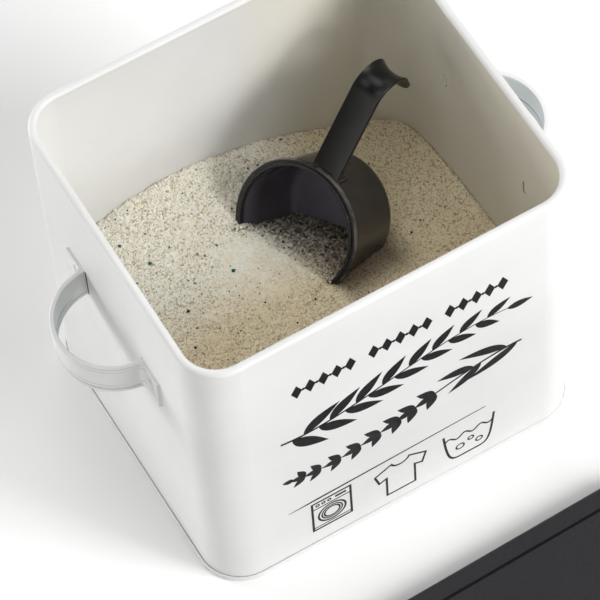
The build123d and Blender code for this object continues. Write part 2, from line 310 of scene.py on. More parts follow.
class Finish:
    """A node material that grows one node at a time on Object coordinates."""

    def __init__(self, name):
        self.material = bpy.data.materials.new(name)
        self.material.use_nodes = True
        self.tree = self.material.node_tree
        self.shader = self.tree.nodes["Principled BSDF"]
        self.place = self.node("TexCoord").outputs["Object"]

    def node(self, kind, settings=None, **sockets):
        """A new node with its settings, and with values or links on its sockets.

        A socket goes by its name with underscores for spaces, or by i and its number.
        """
        made = self.tree.nodes.new("ShaderNode" + kind)
        for key, value in (settings or {}).items():
            setattr(made, key, value)
        for key, value in sockets.items():
            numbered = key[0] == "i" and key[1:].isdigit()
            self.feed(made.inputs[int(key[1:]) if numbered else key.replace("_", " ")], value)
        return made

    def feed(self, socket, value):
        """A link, a colour or a number onto a socket."""
        if isinstance(value, bpy.types.NodeSocket):
            self.tree.links.new(value, socket)
        else:
            socket.default_value = (*value, 1.0) if socket.type == "RGBA" else value

    def noise(self, size, detail=2.0, rough=0.5):
        """Soft noise whose lumps are about size across."""
        made = self.node("TexNoise", Vector=self.place, Scale=1 / size, Detail=detail, Roughness=rough)
        return made.outputs["Fac"]

    def cells(self, size):
        """Both outputs of Voronoi cells about size across: Distance, and a Color of each cell's own."""
        return self.node("TexVoronoi", Vector=self.place, Scale=1 / size).outputs

    def ramp(self, value, low, high, to_low=0.0, to_high=1.0, kind="LINEAR"):
        """A value carried from one range to another, held at both ends."""
        made = self.node("MapRange", {"interpolation_type": kind, "clamp": True}, Value=value,
                         From_Min=low, From_Max=high, To_Min=to_low, To_Max=to_high)
        return made.outputs["Result"]

    def mottled(self, size, low=0.0, high=1.0, detail=2.0):
        """Soft noise spread over a range of its own."""
        return self.ramp(self.noise(size, detail), 0.3, 0.7, low, high)

    def math(self, operation, first, second=0.0):
        """One sum, product or comparison."""
        return self.node("Math", {"operation": operation}, i0=first, i1=second).outputs[0]

    def product(self, first, *others):
        """Several numbers multiplied."""
        for other in others:
            first = self.math("MULTIPLY", first, other)
        return first

    def reach(self, first, second):
        """The length of a line from its parts in two directions: the root of the sum of their squares."""
        return self.math("SQRT", self.math("ADD", self.product(first, first), self.product(second, second)))

    def along(self, way, origin=(0.0, 0.0, 0.0)):
        """How far a place lies along a direction, from an origin."""
        offset = self.node("VectorMath", {"operation": "SUBTRACT"}, i0=self.place, i1=tuple(origin))
        made = self.node("VectorMath", {"operation": "DOT_PRODUCT"}, i0=offset.outputs[0], i1=tuple(way))
        return made.outputs["Value"]

    def away(self, way, origin=(0.0, 0.0, 0.0)):
        """The same distance without its sign."""
        return self.math("ABSOLUTE", self.along(way, origin))

    def blend(self, share, first, second, mode="MIX"):
        """Two colours mixed by a share."""
        made = self.node("Mix", {"data_type": "RGBA", "blend_type": mode}, i0=share, i6=first, i7=second)
        return made.outputs[2]

    def tint(self, share, base, tint):
        """A colour times a tint, by a share of 0 to 1."""
        return self.blend(share, base, self.blend(1.0, base, tint, "MULTIPLY"))

    def bump(self, height, depth, strength=1.0, normal=None):
        """A bumped normal from a height of 0 to 1 times depth, on top of another normal if there is one."""
        under = {} if normal is None else {"Normal": normal}
        made = self.node("Bump", Height=height, Distance=depth, Strength=strength, **under)
        return made.outputs["Normal"]

    def show(self, base, rough, specular=0.5, normal=None):
        """Feed the shader, and give the finish back."""
        sockets = {"Base Color": base, "Roughness": rough, "Specular IOR Level": specular, "Normal": normal}
        for name, value in sockets.items():
            if value is not None:
                self.feed(self.shader.inputs[name], value)
        return self

    def wear(self, *pieces):
        """Put this finish on every slot of the pieces."""
        for piece in pieces:
            if not piece.material_slots:
                piece.data.materials.append(self.material)
            for slot in piece.material_slots:
                slot.material = self.material


def times(base, factor):
    """A colour made darker or lighter by a factor, up to 1."""
    return tuple(min(1.0, factor * part) for part in base)


def inner_walls(made):
    """A share of 1 on the right half of the inner walls below the curl, fading out to the left.

    A place is inside the box's rounded plan where its parts of x and y beyond the middles
    of the corners' arcs make a line shorter than the arcs' radius.
    """
    past = []
    for way, half in ((TO_RIGHT, box_width / 2), (TO_BACK, box_depth / 2)):
        beyond = made.math("SUBTRACT", made.away(way), half - corner_radius)
        past.append(made.math("MAXIMUM", beyond, 0.0))
    inside = made.math("LESS_THAN", made.reach(*past), corner_radius - 0.5 * sheet)
    below = made.ramp(made.along(UP), box_height, box_height - dust_fade)
    return made.product(made.ramp(made.along(TO_RIGHT), 0.0, 70 * MM), inside, below)


def clinch_shade(made):
    """A share of 1 for painted shade on the edge of each clinch mark inside a side wall, towards the wall's
    middle.

    The mark is a slot, so the distance from its middle line less its half width is the
    distance from its edge.
    """
    along = made.math("SUBTRACT", made.away(TO_BACK), clinch_place)
    upright = made.math("SUBTRACT", made.away(UP, (0.0, 0.0, handle_middle)), clinch_half_length)
    reach = made.reach(along, made.math("MAXIMUM", upright, 0.0))
    edge = made.math("ABSOLUTE", made.math("SUBTRACT", reach, clinch_half_width))
    wall = made.away(TO_RIGHT)
    inner = made.product(made.ramp(wall, box_width / 2 - 0.4 * sheet, box_width / 2 - 0.6 * sheet),
                         made.math("GREATER_THAN", wall, box_width / 2 - 2 * sheet))
    near_middle = made.ramp(along, 0.2 * MM, -0.8 * MM)
    return made.product(made.ramp(edge, 0.55 * MM, 0.2 * MM), near_middle, inner)


def wall_bounce_and_shade(made, base, settings):
    """Painted warm bounce light off the powder on the inner walls, and painted shade on an edge of each
    clinch mark.
    """
    # Painted warm bounce light off the powder on the right half of the inner walls
    base = made.tint(inner_walls(made), base, settings.inner_bounce_tint)
    # Painted shade: a dark crescent on one side of each clinch mark
    return made.tint(clinch_shade(made), base, CLINCH_SHADE_TINT)


def strap_shade(made, base, settings):
    """Painted shade on the strap's face towards the wall, and fine painted shade along its rolled beads.

    On that face the normal's x and the place's x have opposite signs. A bead's shade is a
    level line that fades out with the height above and below it.
    """
    normal = made.node("NewGeometry").outputs["Normal"]
    side = made.math("SIGN", made.along(TO_RIGHT))
    outward = made.product(made.node("SeparateXYZ", Vector=normal).outputs[0], side)
    inward = made.ramp(outward, -0.2, -0.6)
    # Painted shade on the face towards the wall, and along the beads
    base = made.tint(inward, base, settings.handle_inner_shade)
    low, high = (made.ramp(made.away(UP, (0.0, 0.0, level)), 0.8 * MM, 0.3 * MM) for level in bead_levels)
    base = made.tint(made.product(low, inward), base, INNER_BEAD_SHADE)
    outer = made.product(made.math("MAXIMUM", low, high), made.ramp(outward, 0.2, 0.6))
    return made.tint(outer, base, OUTER_BEAD_SHADE)


def enamel_finish(settings, name, marks):
    """White powder coat: two close tones, painted light and shade of its own, orange peel and slightly
    uneven gloss.
    """
    made = Finish(name)
    tone = made.ramp(made.noise(60 * MM, 3.0), 0.35, 0.65)
    base = marks(made, made.blend(tone, settings.enamel_shade, settings.enamel), settings)
    rough = settings.enamel_gloss
    peel = made.bump(made.noise(1.6 * MM), 0.02 * MM)
    waves = made.bump(made.noise(45 * MM, 1.0), 0.35 * MM, normal=peel)
    return made.show(base, made.mottled(9 * MM, rough - 0.05, rough + 0.05), 0.45, waves)


def cup_place(made):
    """A place by the cup: how far along its handle, out of its mouth, and out from its axis."""
    u, v, w = (made.along(way, scoop_mouth) for way in scoop_ways)
    return u, w, made.reach(u, v)


def scoop_finish(settings):
    """Satin plastic: black on the handle, duller on the cup with a lighter warm brown that is partly
    painted reflection of the powder, painted bounce light inside it that grows lighter towards the bottom,
    with faint mottling.

    The cup's inside is where the distance from its axis, less the cone's growth along it, is
    under the middle of its wall. The handle is what reaches past the flange.
    """
    made = Finish("scoop_plastic")
    u, w, radius = cup_place(made)
    depth = made.math("SUBTRACT", radius, made.product(w, cup_taper))
    inside = made.ramp(depth, cup_mouth_radius - 0.5 * cup_wall, cup_mouth_radius - 0.7 * cup_wall)
    grip = made.ramp(u, cup_mouth_radius + 1.5 * MM, cup_mouth_radius + 4 * MM)
    deep = made.ramp(w, -0.35 * cup_depth, -0.9 * cup_depth)
    # Painted bounce light inside the cup, lighter towards the bottom
    hollow = made.blend(deep, settings.scoop_inside_lit, settings.scoop_bottom_lit)
    base = made.blend(inside, settings.scoop, hollow)
    black = made.math("MAXIMUM", grip, made.ramp(w, -3 * MM, -1.5 * MM, 0.0, 0.75))
    base = made.blend(black, base, settings.scoop_handle)
    # Painted highlight: a thin lighter line on the flange's outer edge, broken by noise, kept off the
    # handle
    edge = made.ramp(radius, cup_mouth_radius + 1.15 * MM, cup_mouth_radius + 1.6 * MM)
    edge_highlight = made.product(edge, made.ramp(grip, 0.3, 0.0), made.ramp(made.noise(11 * MM), 0.38, 0.6))
    base = made.blend(edge_highlight, base, settings.scoop_edge_highlight)
    base = made.tint(made.mottled(22 * MM), base, FAINT_TINT)
    rough = settings.scoop_gloss
    uneven = made.mottled(6 * MM, rough - 0.03, rough + 0.04, 3.0)
    duller = made.math("ADD", uneven, made.ramp(grip, 0.0, 1.0, 0.0, 0.17))
    return made.show(base, duller, 0.45, made.bump(made.noise(0.7 * MM), 0.006 * MM))


def lid_finish(settings):
    """Dark grey powder coat with a fine sandy grain."""
    made = Finish("lid_enamel")
    tone = made.ramp(made.noise(0.9 * MM), 0.35, 0.65)
    base = made.blend(tone, times(settings.lid, 0.8), times(settings.lid, 1.15))
    rough = settings.lid_gloss
    uneven = made.mottled(8 * MM, rough - 0.05, rough + 0.05)
    return made.show(base, uneven, 0.3, made.bump(made.noise(1.0 * MM), 0.03 * MM))


def shadow_line_finish(name, left, right):
    """Painted shadow lines where two sheets meet, a little uneven, of one colour at the left and one at the
    right.
    """
    made = Finish(name)
    base = made.blend(made.ramp(made.along(TO_RIGHT), -90 * MM, 30 * MM), left, right)
    return made.show(made.tint(made.mottled(7 * MM), base, FAINT_TINT), 0.8, 0.2)


def cup_shade(made):
    """A share of 1 beyond an uneven line across the mouth; before it the powder lies in the light."""
    beyond = made.along(cup_light_way, cup_light_place)
    uneven = made.math("ADD", beyond, made.mottled(4 * MM, -2 * MM, 2 * MM))
    return made.ramp(uneven, -7 * MM, 8 * MM)


def cup_contact_shadow(made):
    """A share of 1 for painted shadow in the angle between the heap and the cup's front side.

    It fades out with the distance from the cup's axis, and past the cup's mouth and base.
    """
    u, w, radius = cup_place(made)
    near = made.ramp(radius, cup_mouth_radius + 20 * MM, cup_mouth_radius + 2 * MM, kind="SMOOTHSTEP")
    front = made.ramp(made.along(cup_front_way, scoop_mouth), 4 * MM, 16 * MM)
    before_mouth = made.ramp(w, 3 * MM, -3 * MM)
    before_base = made.ramp(w, -cup_depth - 12 * MM, -cup_depth + 4 * MM)
    return made.product(near, front, before_mouth, before_base)


def powder_shade(made, base, settings, in_cup):
    """Painted shade: browner and darker towards the front and the right wall, which shade the powder, and
    darker in or by the cup.
    """
    right = made.ramp(made.along(TO_RIGHT), 8 * MM, 60 * MM, kind="SMOOTHSTEP")
    front = made.ramp(made.along(TO_BACK), 28 * MM, -8 * MM, kind="SMOOTHSTEP")
    # Painted shade where the front and right walls shade the powder
    base = made.tint(made.math("MAXIMUM", right, front), base, settings.shade)
    if in_cup:
        return made.tint(cup_shade(made), base, settings.cup_shade)
    return made.tint(cup_contact_shadow(made), base, settings.contact_shadow)


def fine_patch(made):
    """A share of 1 where finer powder has poured out of the cup, by the distance from that place."""
    reach = made.reach(made.along(TO_RIGHT, patch_place), made.along(TO_BACK, patch_place))
    return made.ramp(reach, 30 * MM, 14 * MM, kind="SMOOTHSTEP")


def powder_finish(settings, name="powder", in_cup=False):
    """Washing powder: cells of pale and tan grains, soft patches, painted shade in the gaps between grains,
    and a grain-sized relief.
    """
    made = Finish(name)
    cells = made.cells(1.0 * MM)
    chance = made.node("SeparateColor", Color=cells["Color"]).outputs[0]
    patch = made.noise(14 * MM, 3.0, 0.6)
    share = made.math("ADD", made.product(chance, 0.75), made.product(patch, 0.35))
    base = made.blend(made.ramp(share, 0.2, 0.7), settings.dark, settings.light)
    uneven = made.math("ADD", cells["Distance"], made.mottled(2.6 * MM, -0.22, 0.16, 3.0))
    # Painted shade: darker at the cells' edges, in the gaps between grains, weaker in the smoother patch
    gap = made.ramp(uneven, 0.42, 0.85, 0.0, made.ramp(fine_patch(made), 0.0, 1.0, 1.0, 0.25))
    base = powder_shade(made, made.tint(gap, base, GRAIN_GAP_SHADE), settings, in_cup)
    fine = made.bump(made.ramp(cells["Distance"], 0.0, 0.8, 1.0, 0.0), 0.5 * MM, 0.9)
    return made.show(base, 0.85, 0.25, made.bump(made.noise(2.8 * MM, 3.0), 0.5 * MM, 0.7, fine))


def grain_finish(settings, name="powder_grains", in_cup=False):
    """Loose grains of the powder, each grain one tone by its own value, and darker below nought."""
    made = Finish(name)
    tone = made.node("Attribute", {"attribute_name": "tone"}).outputs["Fac"]
    base = made.blend(tone, settings.dark, settings.light)
    base = made.tint(made.ramp(tone, 0.0, -1.0), base, DARK_GRAIN_TINT)
    base = powder_shade(made, base, settings, in_cup)
    rough = made.mottled(0.5 * MM, 0.6, 0.9)
    return made.show(base, rough, 0.35, made.bump(made.noise(0.3 * MM), 0.08 * MM))


def tinted_grain_finish(name, tint):
    """Coloured grains of the powder, a little uneven and matt."""
    made = Finish(name)
    base = made.blend(made.mottled(0.8 * MM), times(tint, 0.7), times(tint, 1.5))
    return made.show(base, 0.7, normal=made.bump(made.noise(0.4 * MM), 0.08 * MM))


def ink_finish(settings):
    """Screen-printed black ink: satin, with faint thin spots."""
    made = Finish("print_ink")
    thin = made.ramp(made.noise(0.9 * MM, 3.0), 0.62, 0.75)
    base = made.blend(thin, settings.ink, times(settings.ink, 2.5))
    return made.show(base, made.mottled(3 * MM, 0.42, 0.55), 0.2)


def floor_finish(settings):
    """Matt pale studio floor with a faint unevenness."""
    made = Finish("studio_floor")
    base = made.blend(made.mottled(0.4), times(settings.floor, 0.995), settings.floor)
    return made.show(base, 0.9, 0.1)


# Mesh helpers

def mesh_piece(name, points, *faces, smooth=True):
    """An object at the origin from an array of points and arrays of faces.

    Each array of faces has a row of point numbers for every face, all of one length.
    """
    corners = np.concatenate([group.ravel() for group in faces])
    sizes = np.concatenate([np.full(len(group), group.shape[1]) for group in faces])
    mesh = bpy.data.meshes.new(name)
    mesh.vertices.add(len(points))
    mesh.vertices.foreach_set("co", np.asarray(points, np.float32).ravel())
    mesh.loops.add(len(corners))
    mesh.loops.foreach_set("vertex_index", corners.astype(np.int32))
    mesh.polygons.add(len(sizes))
    mesh.polygons.foreach_set("loop_start", (np.cumsum(sizes) - sizes).astype(np.int32))
    mesh.polygons.foreach_set("use_smooth", np.full(len(sizes), smooth))
    mesh.update(calc_edges=True)
    mesh.validate()
    piece = bpy.data.objects.new(name, mesh)
    bpy.context.scene.collection.objects.link(piece)
    return piece


def grid_faces(rows, columns, first=0, flip=False):
    """Quads between neighbours of a rows by columns grid of points."""
    index = first + np.arange(rows * columns).reshape(rows, columns)
    quads = np.stack((index[:-1, :-1], index[:-1, 1:], index[1:, 1:], index[1:, :-1]), -1).reshape(-1, 4)
    return quads[:, ::-1] if flip else quads


def edge_loop(rows, columns):
    """Indices round the edge of a grid, once, counter-clockwise seen from above."""
    index = np.arange(rows * columns).reshape(rows, columns)
    return np.concatenate((index[0, :-1], index[:-1, -1], index[-1, :0:-1], index[:0:-1, 0]))


def skirt_faces(upper, lower):
    """Quads between two closed loops of points, one above the other."""
    return np.stack((upper, lower, np.roll(lower, -1), np.roll(upper, -1)), -1)


def eased(share):
    """A share of 0 to 1 joined by a smooth step: 3 s^2 - 2 s^3."""
    return share * share * (3 - 2 * share)


def noise_2d(x, y, size, seed):
    """Value noise of -1 to 1: random numbers on a lattice of that size, joined by smooth steps."""
    values = np.random.default_rng(seed).uniform(-1, 1, (LATTICE, LATTICE))
    u, v = x / size, y / size
    column, row = np.floor(u).astype(int), np.floor(v).astype(int)
    a, b = eased(u - column), eased(v - row)
    corner = lambda i, j: values[(row + j) % LATTICE, (column + i) % LATTICE]
    near = corner(0, 0) * (1 - a) + corner(1, 0) * a
    far = corner(0, 1) * (1 - a) + corner(1, 1) * a
    return near * (1 - b) + far * b


def lumps_2d(x, y, size, seed):
    """Rounded lumps of 0 to 1: each lattice cell holds one dome of its own place, width and height."""
    chance = np.random.default_rng(seed).uniform(0, 1, (4, LATTICE, LATTICE))
    column, row = np.floor(x / size).astype(int), np.floor(y / size).astype(int)
    top = np.zeros_like(x)
    for step_x in (-1, 0, 1):
        for step_y in (-1, 0, 1):
            i, j = column + step_x, row + step_y
            across, along, width, height = chance[:, j % LATTICE, i % LATTICE]
            distance = np.hypot(x / size - i - across, y / size - j - along)
            dome = np.sqrt(np.clip(1 - (distance / (0.45 + 0.35 * width)) ** 2, 0, 1))
            top = np.maximum(top, (0.4 + 0.6 * height) * dome)
    return top


# Powder

def spline_weights(share):
    """Weights of five even knots in the not-a-knot cubic spline through them, at each share.

    With h the knot step and M the second derivatives, the curve between knots i and i + 1 is
    a y_i + b y_(i+1) + ((a^3 - a) M_i + (b^3 - b) M_(i+1)) h^2 / 6, where b = share / h - i
    and a = 1 - b. M solves M_(i-1) + 4 M_i + M_(i+1) = 6 (y_(i-1) - 2 y_i + y_(i+1)) / h^2,
    and its first and last three values each lie on a line.
    """
    knots = len(heap_shares)
    h = 1 / (knots - 1)
    left, right = np.zeros((knots, knots)), np.zeros((knots, knots))
    inner = np.arange(1, knots - 1)
    for offset, weight, curve in ((-1, 1, 6), (0, 4, -12), (1, 1, 6)):
        left[inner, inner + offset] = weight
        right[inner, inner + offset] = curve / h ** 2
    left[0, :3] = left[-1, -3:] = (1, -2, 1)
    bend = np.linalg.solve(left, right)
    share = np.clip(share, 0, 1)
    i = np.clip((share / h).astype(int), 0, knots - 2)
    b = (share / h - i)[:, None]
    a = 1 - b
    one = np.eye(knots)
    return a * one[i] + b * one[i + 1] + ((a ** 3 - a) * bend[i] + (b ** 3 - b) * bend[i + 1]) * h * h / 6


def heap_height(x, y):
    """The powder's smooth top: a cubic spline surface through the table of shares."""
    across = spline_weights(x.ravel() / box_width + 0.5)
    along = spline_weights(y.ravel() / box_depth + 0.5)
    return box_height * np.einsum("ni,ij,nj->n", along, heap_shares, across).reshape(x.shape)


def cup_radius(out):
    """Radius of the cup's cone at a distance out from its mouth, negative inside."""
    return cup_mouth_radius + cup_taper * out


def in_scoop(x, y, z):
    """Parts of places along the scoop's three directions, from the middle of its mouth."""
    offset = np.stack(np.broadcast_arrays(x, y, z), -1) - scoop_mouth
    return [offset @ way for way in scoop_ways]


def from_scoop(u, v, w):
    """Places at u, v and w along the scoop's three directions from the middle of its mouth."""
    place = scoop_mouth
    for part, way in zip(np.broadcast_arrays(u, v, w), scoop_ways):
        place = place + part[..., None] * way
    return place


def cup_underside(x, y, sink):
    """Height of the cup's lower outside over each x, y, sunk into its wall.

    A point x, y, z lies on the cone where its part across the axis is as long as the radius
    there, which is a quadratic in z. Beside the cone it gives the height of its axis.
    """
    u, v, w = in_scoop(x, y, scoop_mouth[2])
    du, dv, dw = (way[2] for way in scoop_ways)
    start = cup_mouth_radius - sink + cup_taper * w
    a = du * du + dv * dv - (cup_taper * dw) ** 2
    b = u * du + v * dv - cup_taper * dw * start
    c = u * u + v * v - start * start
    low = (-b - np.sqrt(np.maximum(b * b - a * c, 0))) / a
    base = -cup_depth + sink
    low = np.where(w + low * dw < base, (base - w) / dw, low)
    return scoop_mouth[2] + low


def fill_height(x, y):
    """The powder inside the cup: the heap's top, or a slope that runs down into the cup below it.

    Both are joined by the smooth minimum of two numbers, and the slope takes over gently
    with the distance behind the mouth, so that the powder flows in without a step.
    """
    downhill = (x - scoop_mouth[0]) * math.cos(fill_heading) + (y - scoop_mouth[1]) * math.sin(fill_heading)
    slope = fill_level - math.tan(fill_slope) * downhill
    heap = heap_height(x, y)
    share = np.clip(0.5 + 0.5 * (slope - heap) / fill_soft, 0, 1)
    filled = slope * (1 - share) + heap * share - fill_soft * share * (1 - share)
    behind = -in_scoop(x, y, heap)[2]
    return heap + (filled - heap) * eased(np.clip(behind / fill_reach, 0, 1))


def powder_relief(x, y, relief):
    """Lumps and grains: soft swells, clods a few millimetres wide, and single grains.

    The swells and ripples are value noises, the clods are domes that stand in patches, and
    the grains are small domes that fade out where finer powder has poured out.
    """
    swells = swell_height * noise_2d(x, y, swell_width, 11)
    ripples = ripple_height * noise_2d(x, y, ripple_width, 12)
    patches = np.clip(0.25 + 0.9 * noise_2d(x, y, clod_patch_width, 14), 0, 1)
    clods = clod_height * lumps_2d(x, y, clod_width, 13) * patches
    smooth = np.clip(1.3 - np.hypot(x - patch_place[0], y - patch_place[1]) / patch_reach, 0, 0.75)
    grains = grain_height * (1 - smooth) * lumps_2d(x, y, grain_width, 15)
    return relief * (swells + ripples + clods + grains)


def surface_height(x, y, settings):
    """Height of the visible powder outside the cup."""
    return heap_height(x, y) + powder_relief(x, y, settings.relief)


def inside_corner(x, y, inset):
    """Move points outside the box's rounded plan onto its edge, along the corner's radius."""
    radius = corner_radius - inset
    centre_x, centre_y = box_width / 2 - corner_radius, box_depth / 2 - corner_radius
    past_x, past_y = np.abs(x) - centre_x, np.abs(y) - centre_y
    in_corner = (past_x > 0) & (past_y > 0)
    reach = np.hypot(past_x, past_y)
    scale = np.where(in_corner & (reach > radius), radius / np.maximum(reach, 1e-9), 1)
    new_x = np.where(in_corner, np.sign(x) * (centre_x + past_x * scale), x)
    new_y = np.where(in_corner, np.sign(y) * (centre_y + past_y * scale), y)
    return new_x, new_y


def wall_pits(x, y, inset):
    """Small pits where the powder meets the wall: domes turned downwards, in the last millimetre."""
    from_wall = np.minimum(box_width / 2 - inset - np.abs(x), box_depth / 2 - inset - np.abs(y))
    return pit_depth * np.clip(lumps_2d(x, y, pit_width, 16) - 0.3, 0, 1) * (from_wall < pit_reach)


def inside_cup(x, y, z):
    """True where a place is behind the mouth and within the middle of the cup's wall."""
    u, v, w = in_scoop(x, y, z)
    radius = cup_radius(w) - 0.5 * cup_wall
    return (w < -0.5 * MM) & (w > -cup_depth + 0.5 * cup_wall) & (np.hypot(u, v) < radius)


def outside_cup(centres, margin):
    """True where a point is clear of the whole cup."""
    u, v, w = in_scoop(*centres.T)
    flange = np.where(w > -flange_height - margin, flange_width, 0)
    beside = np.hypot(u, v) > cup_radius(w) + margin + flange
    return (w > cup_lip + margin) | (w < -cup_depth - margin) | beside


def powder_heap(settings):
    """The heap as a closed block: a fine grid on top, its edge carried down, and a flat floor."""
    half_x, half_y = box_width / 2 - powder_inset, box_depth / 2 - powder_inset
    columns, rows = int(2 * half_x / settings.step) + 1, int(2 * half_y / settings.step) + 1
    x, y = np.meshgrid(np.linspace(-1, 1, columns) * half_x, np.linspace(-1, 1, rows) * half_y)
    x, y = inside_corner(x, y, powder_inset)
    top = surface_height(x, y, settings) - wall_pits(x, y, powder_inset)
    under_cup = np.minimum(top - 1.5 * MM, cup_underside(x, y, 0.5 * cup_wall))
    top = np.where(inside_cup(x, y, top), under_cup, top)
    upper = np.stack((x, y, top), -1).reshape(-1, 3)
    rim = edge_loop(rows, columns)
    low = upper[rim].copy()
    low[:, 2] = powder_floor
    points = np.concatenate((upper, low, [(0.0, 0.0, powder_floor)]))
    ring = len(upper) + np.arange(len(rim))
    floor = np.stack((ring, np.full_like(ring, len(points) - 1), np.roll(ring, -1)), -1)
    return mesh_piece("powder_heap", points, grid_faces(rows, columns), skirt_faces(rim, ring), floor)


def cup_fill(settings):
    """The powder in the cup as a closed block: its top over the lower half of the wall's middle.

    The grid runs along the axis by w and across by s of -1 to 1. The top's place across the
    axis comes from stepping towards the fill's height, and v runs between the two places
    where the top meets the wall. Near the base the radius follows its rounded edge.
    """
    rows, columns = 64, 84
    w = np.linspace(-cup_depth + 0.6 * cup_wall, 1.0 * MM, rows)[:, None]
    near_base = np.clip(1 - (w + cup_depth) / base_rounding, 0, 1)
    radius = cup_radius(w) - 0.5 * cup_wall - 0.8 * base_rounding * (1 - np.sqrt(1 - near_base ** 2))

    def top_at(v, relief):
        u = np.full_like(v, -10 * MM)
        for _ in range(40):
            x, y, z = np.moveaxis(from_scoop(u, v, w), -1, 0)
            goal = fill_height(x, y)
            if relief:
                goal = goal + powder_relief(x, y, relief)
            u = np.clip(u + 0.7 * (goal - z) / scoop_ways[0][2], -radius, radius)
        return u

    ends = []
    for side in (-1, 1):
        low, high = np.zeros_like(w), side * radius
        for _ in range(24):
            middle = (low + high) / 2
            under = np.hypot(top_at(middle, 0), middle) < radius - 1e-6
            low, high = np.where(under, middle, low), np.where(under, high, middle)
        ends.append(low)
    share = np.linspace(0, 1, columns)[None, :]
    v = ends[0] + (ends[1] - ends[0]) * share
    u_low = -np.sqrt(np.maximum(radius ** 2 - v ** 2, 0))
    edge = np.minimum(1, 12 * np.minimum(share, 1 - share))
    u_top = top_at(v, settings.relief) * edge + np.maximum(top_at(v, 0), u_low) * (1 - edge)
    u_top = np.maximum(u_low, u_top)
    points = np.concatenate([from_scoop(u, v, w).reshape(-1, 3) for u in (u_top, u_low)])
    rim = edge_loop(rows, columns)
    below = rows * columns
    return mesh_piece("powder_in_scoop", points, grid_faces(rows, columns),
                      grid_faces(rows, columns, below, True), skirt_faces(rim, rim + below))


def grain_shape(count, rng):
    """Irregular eight-sided grains: six points on the axes, each pushed in or out and turned."""
    axes = np.array(((1, 0, 0), (-1, 0, 0), (0, 1, 0), (0, -1, 0), (0, 0, 1), (0, 0, -1)), float)
    points = axes[None] * rng.uniform(0.65, 1.15, (count, 6, 1)) + rng.uniform(-0.18, 0.18, (count, 6, 3))
    angles = rng.uniform(0, 2 * math.pi, (count, 3))
    turn = np.eye(3)[None].repeat(count, 0)
    for axis in range(3):
        c, s = np.cos(angles[:, axis]), np.sin(angles[:, axis])
        i, j = (axis + 1) % 3, (axis + 2) % 3
        step = np.eye(3)[None].repeat(count, 0)
        step[:, i, i], step[:, i, j], step[:, j, i], step[:, j, j] = c, -s, s, c
        turn = step @ turn
    return np.einsum("nij,nkj->nki", turn, points)


GRAIN_FACES = np.array(((0, 2, 4), (2, 1, 4), (1, 3, 4), (3, 0, 4),
                        (2, 0, 5), (1, 2, 5), (3, 1, 5), (0, 3, 5)))


def grain_piece(name, centres, sizes, rng, flatten=0.8):
    """Many grains in one mesh, each at its centre and of its size across."""
    shape = grain_shape(len(centres), rng) * (sizes / 2)[:, None, None]
    shape[..., 2] *= flatten
    points = (centres[:, None, :] + shape).reshape(-1, 3)
    faces = (GRAIN_FACES[None] + 6 * np.arange(len(centres))[:, None, None]).reshape(-1, 3)
    return mesh_piece(name, points, faces, smooth=False)


def grain_sizes(rng, count, middle, spread, most):
    """Sizes scattered about a middle one, from half of it to most times it."""
    return middle * np.clip(rng.lognormal(0.0, spread, count), 0.5, most)


def grain_tones(rng, count, share_dark):
    """A tone of 0 to 1 for each grain, and one of -1 to 0 for a share of dark grains."""
    tones = np.clip(rng.normal(0.62, 0.35, count), 0, 1)
    return np.where(rng.uniform(0, 1, count) < share_dark, -rng.uniform(0.3, 1, count), tones)


def add_tones(piece, tones):
    """Store one tone for all six points of each grain."""
    layer = piece.data.attributes.new("tone", "FLOAT", "POINT")
    layer.data.foreach_set("value", np.repeat(tones, 6).astype(np.float32))


def crumbs_piece(name, centres, sizes, keep, rng, share_dark):
    """Crumbs in one mesh where they are kept, a share of them dark."""
    piece = grain_piece(name, centres[keep], sizes[keep], rng)
    add_tones(piece, grain_tones(rng, len(keep), share_dark)[keep])
    return piece


def loose_grains(settings):
    """Loose grains on the heap, clear of the wall and the cup, each with a tone of its own."""
    rng = np.random.default_rng(7)
    count = int(settings.loose)
    x = rng.uniform(-1, 1, count) * (box_width / 2 - grain_inset)
    y = rng.uniform(-1, 1, count) * (box_depth / 2 - grain_inset)
    x, y = inside_corner(x, y, grain_inset)
    sizes = grain_sizes(rng, count, settings.grain, 0.28, 1.9)
    z = surface_height(x, y, settings) + sizes * rng.uniform(-0.05, 0.25, count)
    centres = np.stack((x, y, z), -1)
    keep = outside_cup(centres, grain_clearance)
    tones = grain_tones(rng, count, 0.02)[keep]
    piece = grain_piece("loose_grains", centres[keep], sizes[keep], rng)
    add_tones(piece, tones)
    return piece


def cup_crumbs(fill, settings):
    """Coarse crumbs on the powder in the cup, each by a point of its top and clear of the wall."""
    rng = np.random.default_rng(9)
    count = int(settings.crumbs)
    points = np.empty(3 * len(fill.data.vertices), np.float32)
    fill.data.vertices.foreach_get("co", points)
    top = points.reshape(2, -1, 3)[0]
    centres = top[rng.integers(0, len(top), count)] + rng.uniform(-0.4, 0.4, (count, 3)) * MM
    u, v, w = in_scoop(*centres.T)
    deeper = np.clip(-w / (14 * MM), 0, 1)
    sizes = grain_sizes(rng, count, (0.95 + 0.85 * deeper) * settings.grain, 0.35, 1.8)
    centres[:, 2] += 0.15 * sizes
    keep = (np.hypot(u, v) < cup_radius(w) - cup_wall - 0.6 * sizes) & (w < 1.5 * MM)
    return crumbs_piece("crumbs_in_scoop", centres, sizes, keep, rng, 0.5)


